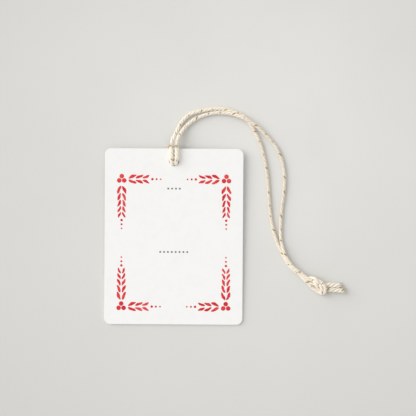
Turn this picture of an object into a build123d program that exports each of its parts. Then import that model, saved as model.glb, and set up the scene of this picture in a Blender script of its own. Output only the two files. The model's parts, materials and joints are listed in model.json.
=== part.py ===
from build123d import *
import math
import os

# Gift tag of heavy card, tied with one doubled length of twine.
# Frame: millimetres, +Z up, the table is z = 0, the card's width runs along X and its
# punched end points to +Y. The origin is under the middle of the card, on the table.
# The card lies on its lower edge and on the two legs of the hitch behind it, so it tilts.

# Card
CARD_WIDTH = 69.85
CARD_HEIGHT = 88.9
CARD_THICKNESS = 1.0
CORNER_RADIUS = 3.2
EDGE_SOFTENING = 0.12
HOLE_DIAMETER = 4.76
HOLE_TO_TOP_EDGE = 6.35

# Twine
TWINE_DIAMETER = 1.8
LAY_GAP = 0.02
STRAND_GAP = 0.06

# Hitch
HITCH_CLEARANCE = 0.15
TURN_ABOVE_HOLE_CENTRE = 0.8
TURN_FLAT = 0.1
BAND_BEYOND_EDGE = 1.3
BAND_GAP = 0.1
NECK_BEYOND_BAND = 0.5
NECK_GAP = 0.1

# Knot
KNOT_LENGTH = 9.0
KNOT_END_RADIUS = 1.95
KNOT_BELLY_RADIUS = 2.35
KNOT_HEADING = -21.0
KNOT_STRAND_GAP = 0.2
WRAP_RADIUS = 2.3
WRAP_PLACES = (-2.2, -0.1, 2.6)
WRAP_LEANS = (30.0, 30.0, -8.0)

# Route of each strand: places in plan from the neck, each with its height above the table.
# The neck is where both strands leave the hitch.
INNER_ROUTE = (
    (-0.3, 4.6, 3.9),
    (1.3, 7.4, 3.1),
    (3.7, 10.3, 2.1),
    (7.6, 13.5, 1.2),
    (12.7, 15.8, 0.92),
    (18.2, 16.8, 0.92),
    (24.4, 16.8, 0.92),
    (30.8, 15.0, 0.92),
    (35.4, 12.2, 0.92),
    (38.2, 8.9, 0.92),
    (40.2, 5.3, 0.92),
    (42.5, 1.0, 0.92),
    (44.5, -4.0, 0.92),
    (46.1, -10.5, 0.92),
    (47.1, -18.0, 0.92),
    (47.8, -25.5, 0.92),
    (48.3, -32.2, 0.92),
    (49.1, -39.2, 0.92),
    (50.4, -44.6, 0.92),
    (52.0, -50.0, 0.92),
    (53.9, -55.0, 0.92),
    (56.8, -60.1, 1.1),
    (60.7, -65.0, 1.9),
)
OUTER_ROUTE = (
    (1.6, 4.2, 4.0),
    (3.5, 6.9, 3.1),
    (7.6, 10.3, 1.7),
    (12.8, 12.8, 0.92),
    (18.0, 14.2, 0.92),
    (23.4, 14.5, 1.3),
    (29.3, 13.8, 3.4),
    (34.3, 12.4, 5.72),
    (38.8, 10.2, 5.72),
    (43.7, 6.6, 3.4),
    (47.7, 2.7, 1.3),
    (51.5, -1.9, 0.92),
    (54.3, -7.5, 0.92),
    (55.6, -13.2, 0.92),
    (55.9, -19.6, 0.92),
    (55.4, -26.1, 0.92),
    (54.6, -32.6, 0.92),
    (54.2, -38.7, 0.92),
    (54.3, -44.6, 0.92),
    (54.9, -49.6, 0.92),
    (56.0, -54.0, 0.92),
    (58.6, -58.8, 1.1),
    (62.3, -63.6, 1.9),
)
KNOT_ENTRY = (68.2, -70.0)
INNER_KNOT_LEAD = 3.7
OUTER_KNOT_LEAD = 3.1

# Route of each tail: places along and across the knot's axis from its far end, with heights.
UPPER_TAIL_ROUTE = (
    (2.4, 0.0, 0.0),
    (5.4, 1.2, -0.6),
    (8.4, 3.2, -1.5),
)
LOWER_TAIL_ROUTE = (
    (2.4, 0.0, 0.0),
    (5.8, 0.7, -0.9),
    (9.8, 2.3, -1.9),
)

# Sizes that follow from those above
TWINE_RADIUS = TWINE_DIAMETER / 2
STRAND_SIDE = TWINE_RADIUS + STRAND_GAP / 2
FRONT_LEVEL = CARD_THICKNESS + HITCH_CLEARANCE + TWINE_RADIUS
BACK_LEVEL = -HITCH_CLEARANCE - TWINE_RADIUS
TURN_RADIUS = (FRONT_LEVEL - BACK_LEVEL - TURN_FLAT) / 2
BAND_WRAP_RADIUS = TWINE_DIAMETER + BAND_GAP
LEG_SIDE = STRAND_SIDE + BAND_WRAP_RADIUS
BAND_LEVEL = FRONT_LEVEL + BAND_WRAP_RADIUS
HOLE_HEIGHT = CARD_HEIGHT - HOLE_TO_TOP_EDGE
TURN_HEIGHT = HOLE_HEIGHT + TURN_ABOVE_HOLE_CENTRE
BAND_HEIGHT = CARD_HEIGHT + BAND_BEYOND_EDGE + TWINE_RADIUS
NECK_HEIGHT = BAND_HEIGHT + TWINE_RADIUS + NECK_BEYOND_BAND
LOWEST_LEG_HEIGHT = TURN_HEIGHT + TURN_RADIUS
TILT = math.degrees(math.atan2(TWINE_RADIUS - BACK_LEVEL + LAY_GAP, LOWEST_LEG_HEIGHT))
KNOT_LEVEL = WRAP_RADIUS + TWINE_RADIUS + LAY_GAP
KNOT_SIDE = TWINE_RADIUS + KNOT_STRAND_GAP / 2


def card_frame():
    """Place of the card's own frame: x across, y up from its lower edge, z off its back."""
    tilt = math.radians(TILT)
    reach = CARD_HEIGHT * math.cos(tilt) - CARD_THICKNESS * math.sin(tilt)
    return Location((0, -reach / 2, 0), (TILT, 0, 0))


def on_table(x, y, z):
    """A point of the card's frame, in the table's frame."""
    return Vector(*(card_frame() * Location((x, y, z))).position)


def knot_frame():
    """Place of the knot's frame: x along its axis from the strands to the tails."""
    neck = on_table(0, NECK_HEIGHT, FRONT_LEVEL)
    entry = Location((neck.X + KNOT_ENTRY[0], neck.Y + KNOT_ENTRY[1], KNOT_LEVEL), (0, 0, KNOT_HEADING))
    return entry * Location((KNOT_LENGTH / 2, 0, 0))


def in_knot(x, y, z):
    """A point of the knot's frame, in the table's frame."""
    return Vector(*(knot_frame() * Location((x, y, z))).position)


def bend_radii(points):
    """Largest arc that each corner's two runs allow."""
    radii = []
    for before, corner, after in zip(points, points[1:], points[2:]):
        run_in = corner - before
        run_out = after - corner
        half_turn = math.radians(run_in.get_angle(run_out)) / 2
        radii.append(0.45 * min(run_in.length, run_out.length) / math.tan(half_turn))
    return radii


def twine_tube(name, points, radii=None):
    """Round tube of twine along straight runs joined by tangent arcs."""
    arcs = radii or bend_radii(points)
    path = FilletPolyline(*points, radius=arcs)
    section = Plane(origin=path @ 0, z_dir=path % 0) * Circle(TWINE_RADIUS)
    tube = sweep(section, path=path)
    share = tube.volume / (math.pi * TWINE_RADIUS**2 * path.length)
    print(f"{name}: length {path.length:.1f} mm, volume / section x length {share:.4f}")
    print(f"{name}: least arc {min(arcs):.2f} mm, arcs", [round(arc, 1) for arc in arcs])
    return tube


def make_card():
    """Card with round corners and a punched hole, its front edges pressed soft by the die."""
    outline = Pos(0, CARD_HEIGHT / 2) * RectangleRounded(CARD_WIDTH, CARD_HEIGHT, CORNER_RADIUS)
    hole = Pos(0, HOLE_HEIGHT) * Circle(HOLE_DIAMETER / 2)
    card = extrude(outline - hole, CARD_THICKNESS)
    front = card.faces().sort_by(Axis.Z)[-1]
    return card_frame() * fillet(front.edges(), EDGE_SOFTENING)


def hitch_half(side):
    """Corners of one half of the hitch, from the neck to the top of the band."""
    return [
        on_table(side * STRAND_SIDE, NECK_HEIGHT, FRONT_LEVEL),
        on_table(side * STRAND_SIDE, TURN_HEIGHT, FRONT_LEVEL),
        on_table(side * STRAND_SIDE, TURN_HEIGHT, BACK_LEVEL),
        on_table(side * LEG_SIDE, BAND_HEIGHT, BACK_LEVEL),
        on_table(side * LEG_SIDE, BAND_HEIGHT, BAND_LEVEL),
    ]


def make_hitch():
    """Cow hitch: front strand, hole, back leg, band over the front, and back the same way."""
    points = hitch_half(-1) + hitch_half(1)[::-1]
    half_radii = [TURN_RADIUS, TURN_RADIUS, TURN_RADIUS, BAND_WRAP_RADIUS]
    return twine_tube("twine_hitch", points, half_radii + half_radii[::-1])


def make_strand(name, side, route, lead):
    """Free stretch from the neck of the hitch to the end of the knot."""
    neck = on_table(0, NECK_HEIGHT, FRONT_LEVEL)
    start_height = NECK_HEIGHT + NECK_GAP
    points = [on_table(side * STRAND_SIDE, start_height, FRONT_LEVEL)]
    points.append(on_table(side * STRAND_SIDE, start_height + TWINE_DIAMETER, FRONT_LEVEL))
    for x, y, height in route:
        points.append(Vector(neck.X + x, neck.Y + y, height))
    points.append(in_knot(-KNOT_LENGTH / 2 - lead, side * KNOT_SIDE, 0))
    points.append(in_knot(-KNOT_LENGTH / 2, side * KNOT_SIDE, 0))
    return twine_tube(name, points)


def make_knot():
    """Overhand knot: a swelling core of the two strands with the turns that wrap it."""
    half = KNOT_LENGTH / 2
    belly = ThreePointArc((-half, KNOT_END_RADIUS), (0, KNOT_BELLY_RADIUS), (half, KNOT_END_RADIUS))
    sides = Polyline((half, KNOT_END_RADIUS), (half, 0), (-half, 0), (-half, KNOT_END_RADIUS))
    knot = revolve(make_face(belly + sides), Axis.X)
    for place, lean in zip(WRAP_PLACES, WRAP_LEANS):
        knot += Location((place, 0, 0), (0, 90, 0)) * Rotation(lean, 0, 0) * Torus(WRAP_RADIUS, TWINE_RADIUS)
    return knot_frame() * knot


def make_tail(name, side, route):
    """Short end of the twine past the knot."""
    half = KNOT_LENGTH / 2
    points = [in_knot(half, side * KNOT_SIDE, 0)]
    for along, across, rise in route:
        points.append(in_knot(half + along, side * KNOT_SIDE + across, rise))
    return twine_tube(name, points)


os.makedirs("parts", exist_ok=True)
nodes = {
    "tag_card": make_card(),
    "twine_hitch": make_hitch(),
    "twine_strand_inner": make_strand("twine_strand_inner", -1, INNER_ROUTE, INNER_KNOT_LEAD),
    "twine_strand_outer": make_strand("twine_strand_outer", 1, OUTER_ROUTE, OUTER_KNOT_LEAD),
    "twine_knot": make_knot(),
    "twine_tail_upper": make_tail("twine_tail_upper", 1, UPPER_TAIL_ROUTE),
    "twine_tail_lower": make_tail("twine_tail_lower", -1, LOWER_TAIL_ROUTE),
}
for node, solid in nodes.items():
    export_step(solid, f"parts/{node}.step")
    low = solid.bounding_box().min
    high = solid.bounding_box().max
    print(f"{node}: low {low.X:.2f} {low.Y:.2f} {low.Z:.3f}, high {high.X:.2f} {high.Y:.2f} {high.Z:.3f}")

hole_centre = on_table(0, HOLE_HEIGHT, CARD_THICKNESS / 2)
neck_centre = on_table(0, NECK_HEIGHT, FRONT_LEVEL)
print(f"tilt {TILT:.4f} degrees, hole centre {hole_centre}, neck centre {neck_centre}")
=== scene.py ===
"""Dress the gift tag: a card with printed sprigs, hitched to a three-ply twine with a gold thread.

All sizes are in metres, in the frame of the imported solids: +Z up from the table, +Y towards the
punched end of the card, and the origin on the table under the middle of the card.
"""
import json
import logging
import math
from dataclasses import dataclass, field
from enum import Enum

import bpy
import numpy as np
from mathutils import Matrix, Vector


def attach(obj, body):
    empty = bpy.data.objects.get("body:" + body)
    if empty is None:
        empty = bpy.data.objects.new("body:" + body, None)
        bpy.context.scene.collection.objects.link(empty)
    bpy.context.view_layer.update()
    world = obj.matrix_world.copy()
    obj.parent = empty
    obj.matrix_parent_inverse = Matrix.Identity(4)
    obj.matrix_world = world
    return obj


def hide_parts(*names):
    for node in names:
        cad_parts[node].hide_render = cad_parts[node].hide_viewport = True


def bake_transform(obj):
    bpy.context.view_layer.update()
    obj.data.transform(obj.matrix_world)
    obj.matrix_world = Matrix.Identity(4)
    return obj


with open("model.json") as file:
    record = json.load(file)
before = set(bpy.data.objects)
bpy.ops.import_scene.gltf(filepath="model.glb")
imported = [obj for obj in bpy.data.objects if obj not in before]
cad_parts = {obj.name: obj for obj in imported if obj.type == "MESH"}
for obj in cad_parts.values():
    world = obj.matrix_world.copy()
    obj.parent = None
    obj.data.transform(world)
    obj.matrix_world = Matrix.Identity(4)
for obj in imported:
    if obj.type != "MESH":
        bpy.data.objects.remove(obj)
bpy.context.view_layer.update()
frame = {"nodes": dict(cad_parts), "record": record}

Array = np.ndarray
Point = tuple[float, float, float]
Colour = tuple[float, float, float, float]
# Where a range of values starts and ends.
Span = tuple[float, float]
# Height, reach or rate, and phase.
Wave = tuple[float, float, float]
Socket = bpy.types.NodeSocket
# What an input of a node takes: an output, a number or a tuple of numbers.
Feed = Socket | float | tuple[float, ...]

LOG = logging.getLogger("gift_tag")
FULL_TURN = 2.0 * math.pi
MILLIMETRES = 1000.0
WHOLE: Span = (0.0, 1.0)
PLACES = "places"
GOLD = "gold_thread"
WINDING = "winding"


class Lay(Enum):
    """Which way the plies of a twine turn about its length."""

    S = -1.0
    Z = 1.0


class Side(Enum):
    """The two strands of the doubled twine, by the side of the hitch that they leave from."""

    LEFT = -1.0
    RIGHT = 1.0


def unit(vectors: Array) -> Array:
    """Vectors scaled to length one along their last axis."""
    return vectors / np.linalg.norm(vectors, axis=-1, keepdims=True)


def smooth_step(values: Array, start: float, end: float) -> Array:
    """Zero before start, one after end, and a smooth rise (3t^2 - 2t^3) between them."""
    t = np.clip((values - start) / (end - start), 0.0, 1.0)
    return t * t * (3.0 - 2.0 * t)


def waves(at: Array, table: tuple[Wave, ...]) -> Array:
    """Sum of waves, each its height times the sine of the place over its reach plus its phase."""
    return sum(height * np.sin(at / reach + phase) for height, reach, phase in table)


class Skin:
    """Faces gathered for one mesh: points, faces, pattern places, and two shares at each point."""

    def __init__(self) -> None:
        """Start with no faces."""
        self.points: list[Array] = []
        self.faces: list[Array] = []
        self.places: list[Array] = []
        self.gold: list[Array] = []
        self.winding: list[Array] = []
        self.count = 0

    def add_points(self, points: Array, gold: float = 0.0, winding: float | Array = 0.0) -> Array:
        """Store points in any grid shape.

        Args:
            points: Array that ends in an axis of three.
            gold: Share of gold thread, 0 or 1, on these points.
            winding: How the plies are wound, from -1, loose, to 1, hard, for all points or for each.

        Returns:
            The index of each point, in the same grid shape.
        """
        flat = points.reshape(-1, 3)
        ids = self.count + np.arange(len(flat))
        self.points.append(flat)
        self.gold.append(np.full(len(flat), gold))
        self.winding.append(np.broadcast_to(winding, points.shape[:-1]).ravel())
        self.count += len(flat)
        return ids.reshape(points.shape[:-1])

    def add_faces(self, ids: Array, places: Array) -> None:
        """Store faces by their corners' indices, with the pattern place of each corner."""
        self.faces.append(ids)
        self.places.append(places)

    def add_quads(self, ids: Array, places: Array, corners: list[tuple[slice, ...]]) -> None:
        """Store the quads of a grid.

        Args:
            ids: Index of each point of the grid.
            places: Pattern place of each point of the grid.
            corners: The part of the grid that gives each corner of the quads, counter-clockwise.
        """
        faces = np.stack([ids[part] for part in corners], axis=-1).reshape(-1, 4)
        spots = np.stack([places[part] for part in corners], axis=-2).reshape(-1, 4, 2)
        self.add_faces(faces, spots)

    def add_sheet(self, points: Array, places: Array) -> None:
        """Add an open grid of quads, whose outside is where rows turn to columns counter-clockwise."""
        corners = [np.s_[:-1, :-1], np.s_[1:, :-1], np.s_[1:, 1:], np.s_[:-1, 1:]]
        self.add_quads(self.add_points(points), places, corners)

    def add_tubes(
        self, rings: Array, places: Array, gold: float = 0.0, winding: float | Array = 0.0
    ) -> None:
        """Add closed tubes with flat ends.

        Args:
            rings: Tubes x rings x sides x 3, each ring counter-clockwise about the tube's direction.
            places: Tubes x rings x (sides + 1) x 2, the pattern place of each corner.
            gold: Share of gold thread, 0 or 1.
            winding: How the plies are wound, from -1, loose, to 1, hard, for all rings or for each.
        """
        winding = np.broadcast_to(winding, rings.shape[:-1])
        ids = self.add_points(rings, gold, winding)
        ids = np.concatenate([ids, ids[:, :, :1]], axis=2)
        corners = [np.s_[:, :-1, :-1], np.s_[:, :-1, 1:], np.s_[:, 1:, 1:], np.s_[:, 1:, :-1]]
        self.add_quads(ids, places, corners)
        for end, order in ((0, (1, 0)), (-1, (0, 1))):
            middle = self.add_points(rings[:, end].mean(axis=1), gold, winding[:, end, 0])
            rim = np.stack([ids[:, end, :-1], ids[:, end, 1:]], axis=-1)[..., order]
            hub = np.broadcast_to(middle[:, None, None], rim.shape[:2] + (1,))
            fan = np.concatenate([hub, rim], axis=-1).reshape(-1, 3)
            spot = np.stack([places[:, end, :-1], places[:, end, 1:]], axis=-2)[..., order, :]
            spot = np.concatenate([spot.mean(axis=-2, keepdims=True), spot], axis=-2)
            self.add_faces(fan, spot.reshape(-1, 3, 2))

    def to_object(self, name: str, material: bpy.types.Material) -> bpy.types.Object:
        """Make the mesh object.

        Args:
            name: Name of the piece.
            material: Its one material.

        Returns:
            The new object, linked to the scene, at the origin.
        """
        points = np.concatenate(self.points)
        corners = np.concatenate([face.ravel() for face in self.faces])
        sizes = np.concatenate([np.full(len(face), face.shape[1]) for face in self.faces])
        places = np.concatenate([spot.reshape(-1, 2) for spot in self.places])
        mesh = bpy.data.meshes.new(name)
        mesh.vertices.add(len(points))
        mesh.vertices.foreach_set("co", points.astype(np.float32).ravel())
        mesh.loops.add(len(corners))
        mesh.loops.foreach_set("vertex_index", corners.astype(np.int32))
        mesh.polygons.add(len(sizes))
        mesh.polygons.foreach_set("loop_start", (np.cumsum(sizes) - sizes).astype(np.int32))
        mesh.polygons.foreach_set("use_smooth", np.ones(len(sizes), dtype=bool))
        mesh.update(calc_edges=True)
        layer = mesh.uv_layers.new(name=PLACES)
        layer.uv.foreach_set("vector", places.astype(np.float32).ravel())
        for label, shares in ((GOLD, self.gold), (WINDING, self.winding)):
            share = mesh.attributes.new(label, "FLOAT", "POINT")
            share.data.foreach_set("value", np.concatenate(shares).astype(np.float32))
        mesh.materials.append(material)
        piece = bpy.data.objects.new(name, mesh)
        bpy.context.scene.collection.objects.link(piece)
        LOG.info("%s: %d points, %d faces", name, len(points), len(sizes))
        return piece


class Layout:
    """Short ways to lay out the nodes of one node tree."""

    def __init__(self, tree: bpy.types.NodeTree) -> None:
        """Keep the tree that the nodes go into."""
        self.tree = tree

    def node(
        self, kind: str, inputs: dict[str | int, Feed] | None = None, **settings: object
    ) -> bpy.types.Node:
        """Add one node.

        Args:
            kind: Blender's name of the node.
            inputs: Values or sockets for its inputs, by name or number.
            settings: Attributes of the node, which are set before its inputs.

        Returns:
            The new node.
        """
        made = self.tree.nodes.new(kind)
        for key, value in settings.items():
            setattr(made, key, value)
        for key, value in (inputs or {}).items():
            self.feed(made.inputs[key], value)
        return made

    def feed(self, socket: Socket, value: Feed) -> None:
        """Set a socket to a plain value, or link it to another socket.

        Args:
            socket: The input that is fed.
            value: A number, a tuple or an output.
        """
        if isinstance(value, Socket):
            self.tree.links.new(value, socket)
        else:
            socket.default_value = value

    def mix(self, share: Feed, first: Feed, second: Feed) -> Socket:
        """Mix two colours by a share, each a value or a socket."""
        made = self.node("ShaderNodeMix", {0: share, 6: first, 7: second}, data_type="RGBA")
        return made.outputs[2]

    def ramp(self, value: Feed, span: Span, to: tuple[Feed, Feed] = WHOLE) -> Socket:
        """Carry a value from one span to another, held at its ends."""
        inputs = {0: value, 1: span[0], 2: span[1], 3: to[0], 4: to[1]}
        return self.node("ShaderNodeMapRange", inputs).outputs[0]

    def noise(self, where: Feed, scale: Feed, detail: Feed) -> Socket:
        """Noise of a scale at the places that a socket gives."""
        made = self.node("ShaderNodeTexNoise", {"Vector": where, "Scale": scale, "Detail": detail})
        return made.outputs["Fac"]

    def bump(self, height: Socket, strength: float, distance: float) -> Socket:
        """Normal of a surface that a height raises."""
        made = self.node("ShaderNodeBump", {"Height": height, "Strength": strength, "Distance": distance})
        return made.outputs[0]

    def axis(self, vector: Socket, number: int) -> Socket:
        """One axis of a vector, by its number."""
        return self.node("ShaderNodeSeparateXYZ", {0: vector}).outputs[number]

    def work(self, operation: str, *values: Feed) -> Socket:
        """Result of an operation of arithmetic, by Blender's name of it, on one or two values."""
        return self.node("ShaderNodeMath", dict(enumerate(values)), operation=operation).outputs[0]

    def share(self, name: str) -> Socket:
        """A share that the mesh holds at each point, by its name."""
        return self.node("ShaderNodeAttribute", attribute_name=name).outputs["Fac"]

    def places(self) -> Socket:
        """The mesh's own pattern places."""
        return self.node("ShaderNodeUVMap", uv_map=PLACES).outputs[0]


class PaperTooth(Layout):
    """Node group of the fine tooth of uncoated board, which shows through the ink as well."""

    NOISE_SPAN: Span = (0.3, 0.7)

    def __init__(self) -> None:
        """Make the group: noise of a scale for the height, and roughness between two limits."""
        super().__init__(bpy.data.node_groups.new("paper_tooth", "ShaderNodeTree"))
        sockets = self.tree.interface
        sockets.new_socket("Place", in_out="INPUT", socket_type="NodeSocketVector")
        for name in ("Scale", "Detail", "Low Roughness", "High Roughness"):
            sockets.new_socket(name, in_out="INPUT", socket_type="NodeSocketFloat")
        for name in ("Height", "Roughness"):
            sockets.new_socket(name, in_out="OUTPUT", socket_type="NodeSocketFloat")
        given = self.node("NodeGroupInput").outputs
        height = self.noise(given["Place"], given["Scale"], given["Detail"])
        limits = (given["Low Roughness"], given["High Roughness"])
        roughness = self.ramp(height, self.NOISE_SPAN, limits)
        self.node("NodeGroupOutput", {"Height": height, "Roughness": roughness})


class Shading(Layout):
    """The nodes of one material."""

    def __init__(self, name: str) -> None:
        """Make an empty material with a Principled shader.

        Args:
            name: Name of the material.
        """
        self.material = bpy.data.materials.new(name)
        self.material.use_nodes = True
        super().__init__(self.material.node_tree)
        self.shader = self.tree.nodes["Principled BSDF"]

    def tooth(
        self, group: PaperTooth, where: Socket, scale: float, detail: float, rough: Span
    ) -> tuple[Socket, Socket]:
        """Place the board's tooth in this material.

        Args:
            group: The group of nodes that makes the tooth.
            where: Place on the surface.
            scale: Of the tooth's noise.
            detail: Of the tooth's noise.
            rough: Least and greatest roughness.

        Returns:
            The sockets of the height and of the roughness.
        """
        inputs = {"Place": where, "Scale": scale, "Detail": detail}
        inputs |= {"Low Roughness": rough[0], "High Roughness": rough[1]}
        made = self.node("ShaderNodeGroup", inputs, node_tree=group.tree)
        return made.outputs["Height"], made.outputs["Roughness"]

    def finish(self, **inputs: Feed) -> bpy.types.Material:
        """Feed the shader.

        Args:
            inputs: Values or sockets by the shader's own names, with _ for a space.

        Returns:
            The finished material.
        """
        for key, value in inputs.items():
            self.feed(self.shader.inputs[key.replace("_", " ")], value)
        return self.material


@dataclass(frozen=True)
class PaperFinish:
    """Uncoated heavy board, near white, with a fine tooth and slightly warmer cut edges."""

    sheet: Colour = (0.925, 0.918, 0.9, 1.0)
    cloud: Colour = (0.905, 0.897, 0.878, 1.0)
    cut: Colour = (0.86, 0.845, 0.815, 1.0)
    cloud_scale: float = 260.0
    cloud_detail: float = 2.0
    cloud_span: Span = (0.45, 0.75)
    edge_span: Span = (0.2, 0.7)
    tooth_scale: float = 2400.0
    tooth_detail: float = 3.0
    tooth_strength: float = 0.2
    tooth_height: float = 0.00008
    roughness: Span = (0.72, 0.86)

    def material(self, tooth: PaperTooth) -> bpy.types.Material:
        """A faint mottle, a fine tooth, and a warmer tone where the face turns to a cut edge.

        Args:
            tooth: The group of nodes that makes the tooth.

        Returns:
            The board's material.
        """
        shading = Shading("uncoated_board")
        coordinates = shading.node("ShaderNodeTexCoord").outputs
        here = coordinates["Object"]
        height, rough = shading.tooth(tooth, here, self.tooth_scale, self.tooth_detail, self.roughness)
        cloud = shading.ramp(shading.noise(here, self.cloud_scale, self.cloud_detail), self.cloud_span)
        upright = shading.work("ABSOLUTE", shading.axis(coordinates["Normal"], 2))
        edge = shading.ramp(upright, self.edge_span, (1.0, 0.0))
        return shading.finish(
            Base_Color=shading.mix(edge, shading.mix(cloud, self.sheet, self.cloud), self.cut),
            Roughness=rough,
            Normal=shading.bump(height, self.tooth_strength, self.tooth_height),
        )


@dataclass(frozen=True)
class InkFinish:
    """A water-thin ink: fuller where it pooled at the edge of a mark, paler where the brush ran dry."""

    name: str
    full: Colour
    usual: Colour
    pale: Colour
    wash: float
    wash_scale: float = 210.0
    wash_detail: float = 3.0
    dry_span: Span = (0.46, 0.72)
    wet_span: Span = (0.5, 0.3)
    rim_span: Span = (0.7, 1.0)
    rim_share: float = 0.7
    grain_span: Span = (0.5, 0.8)
    grain_share: float = 0.35
    tooth_scale: float = 1800.0
    tooth_detail: float = 2.0
    tooth_strength: float = 0.15
    tooth_height: float = 0.00005
    roughness: Span = (0.6, 0.75)
    gloss: float = 0.25

    def material(self, tooth: PaperTooth) -> bpy.types.Material:
        """Slow noise for the wash, and the mark's own places for the darker rim.

        Args:
            tooth: The group of nodes that makes the tooth.

        Returns:
            The ink's material.
        """
        shading = Shading(self.name)
        here = shading.node("ShaderNodeTexCoord").outputs["Object"]
        grain, rough = shading.tooth(tooth, here, self.tooth_scale, self.tooth_detail, self.roughness)
        wash = shading.noise(here, self.wash_scale, self.wash_detail)
        rim = shading.work("ABSOLUTE", shading.axis(shading.places(), 1))
        tone = shading.mix(shading.ramp(wash, self.dry_span, (0.0, self.wash)), self.usual, self.pale)
        tone = shading.mix(shading.ramp(wash, self.wet_span, (0.0, self.wash)), tone, self.full)
        pooled = shading.ramp(rim, self.rim_span, (0.0, self.rim_share * self.wash))
        tone = shading.mix(pooled, tone, self.full)
        bare = shading.ramp(grain, self.grain_span, (0.0, self.grain_share * self.wash))
        return shading.finish(
            Base_Color=shading.mix(bare, tone, self.pale),
            Roughness=rough,
            Normal=shading.bump(grain, self.tooth_strength, self.tooth_height),
            Specular_IOR_Level=self.gloss,
        )


class Ink(Enum):
    """The two inks of the printing."""

    RED = InkFinish(
        name="red_wash",
        full=(0.56, 0.012, 0.022, 1.0),
        usual=(0.74, 0.024, 0.034, 1.0),
        pale=(0.84, 0.10, 0.095, 1.0),
        wash=0.8,
    )
    GREY = InkFinish(
        name="grey_ink",
        full=(0.13, 0.13, 0.135, 1.0),
        usual=(0.2, 0.2, 0.205, 1.0),
        pale=(0.32, 0.32, 0.32, 1.0),
        wash=0.5,
    )


@dataclass(frozen=True)
class TwineFinish:
    """Cream cotton, with a flat metallic thread laid along one ply."""

    cotton: Colour = (0.95, 0.893, 0.785, 1.0)
    shade: Colour = (0.875, 0.79, 0.66, 1.0)
    # painted shade: the brown of the grooves, on the side of each ply that faces the twine's middle
    painted_groove_shade: Colour = (0.70, 0.555, 0.37, 1.0)
    slub: Colour = (0.77, 0.66, 0.505, 1.0)
    # painted shade: this brown stands for shade in the sunk band of the hitch; it also browns the right
    # strands
    hard_wound_and_shade: Colour = (0.50, 0.435, 0.35, 1.0)
    gold: Colour = (0.33, 0.21, 0.035, 1.0)
    fuzz: Colour = (1.0, 0.93, 0.82, 1.0)
    fibre_stretch: Point = (1.4, 22.0, 1.0)
    fibre_scale: float = 1.0
    fibre_detail: float = 3.0
    fibre_span: Span = (0.32, 0.58)
    fibre_strength: float = 0.45
    fibre_height: float = 0.00012
    slub_scale: float = 0.35
    slub_detail: float = 1.0
    pale_span: Span = (0.5, 0.75)
    pale_share: float = 0.45
    slub_span: Span = (0.5, 0.28)
    slub_share: float = 0.7
    inner_side: float = 0.5
    painted_groove_shade_span: Span = (0.19, 0.38)
    loose_share: float = 0.8
    hard_and_shade_share: float = 0.7
    cotton_roughness: float = 0.92
    gold_roughness: float = 0.55
    gold_metal: float = 0.5
    sheen: float = 0.8
    sheen_roughness: float = 0.6

    def material(self) -> bpy.types.Material:
        """Fibres drawn along each ply on its own places, and gold where the thread's share is one.

        Slow noise makes pale stretches and brownish slubs. Painted shade browns the side of a ply that
        faces the twine's middle, in the grooves between plies. The winding takes the cotton back toward
        plain or browns it; the brown is painted shade in the sunk band of the hitch, and a browner tone
        on the strands that run down the right.

        Returns:
            The twine's material.
        """
        shading = Shading("cotton_twine")
        places = shading.places()
        stretch = shading.node("ShaderNodeMapping", {"Vector": places, "Scale": self.fibre_stretch})
        fibres = shading.noise(stretch.outputs[0], self.fibre_scale, self.fibre_detail)
        slubs = shading.noise(places, self.slub_scale, self.slub_detail)
        inwards = shading.work("SUBTRACT", shading.axis(places, 1), self.inner_side)
        depth = shading.work("ABSOLUTE", inwards)
        winding = shading.share(WINDING)
        gold = shading.share(GOLD)
        tone = shading.mix(shading.ramp(fibres, self.fibre_span), self.shade, self.cotton)
        for value, span, limits, colour in (
            (slubs, self.pale_span, (0.0, self.pale_share), self.cotton),
            (slubs, self.slub_span, (0.0, self.slub_share), self.slub),
            # painted shade in the grooves between plies
            (depth, self.painted_groove_shade_span, (1.0, 0.0), self.painted_groove_shade),
            (winding, (0.0, -1.0), (0.0, self.loose_share), self.cotton),
            # painted shade in the sunk band of the hitch, and a browner tone on the right strands
            (winding, (0.0, 1.0), (0.0, self.hard_and_shade_share), self.hard_wound_and_shade),
        ):
            tone = shading.mix(shading.ramp(value, span, limits), tone, colour)
        return shading.finish(
            Base_Color=shading.mix(gold, tone, self.gold),
            Metallic=shading.ramp(gold, WHOLE, (0.0, self.gold_metal)),
            Roughness=shading.ramp(gold, WHOLE, (self.cotton_roughness, self.gold_roughness)),
            Normal=shading.bump(fibres, self.fibre_strength, self.fibre_height),
            Sheen_Weight=self.sheen,
            Sheen_Roughness=self.sheen_roughness,
            Sheen_Tint=self.fuzz,
        )


@dataclass(frozen=True)
class Card:
    """The die-cut card, whose solid is right as it is: its sizes, and its dress."""

    width: float = 0.06985
    height: float = 0.0889
    thickness: float = 0.001
    hole_to_top: float = 0.00635

    def dress(self, finish: PaperFinish, tooth: PaperTooth) -> None:
        """Give the solid its board.

        Args:
            finish: Of the board.
            tooth: The group of nodes that makes the board's tooth.
        """
        board = frame["nodes"]["tag_card"]
        board.data.materials.clear()
        board.data.materials.append(finish.material(tooth))
        LOG.info("%s: dressed", board.name)


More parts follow.
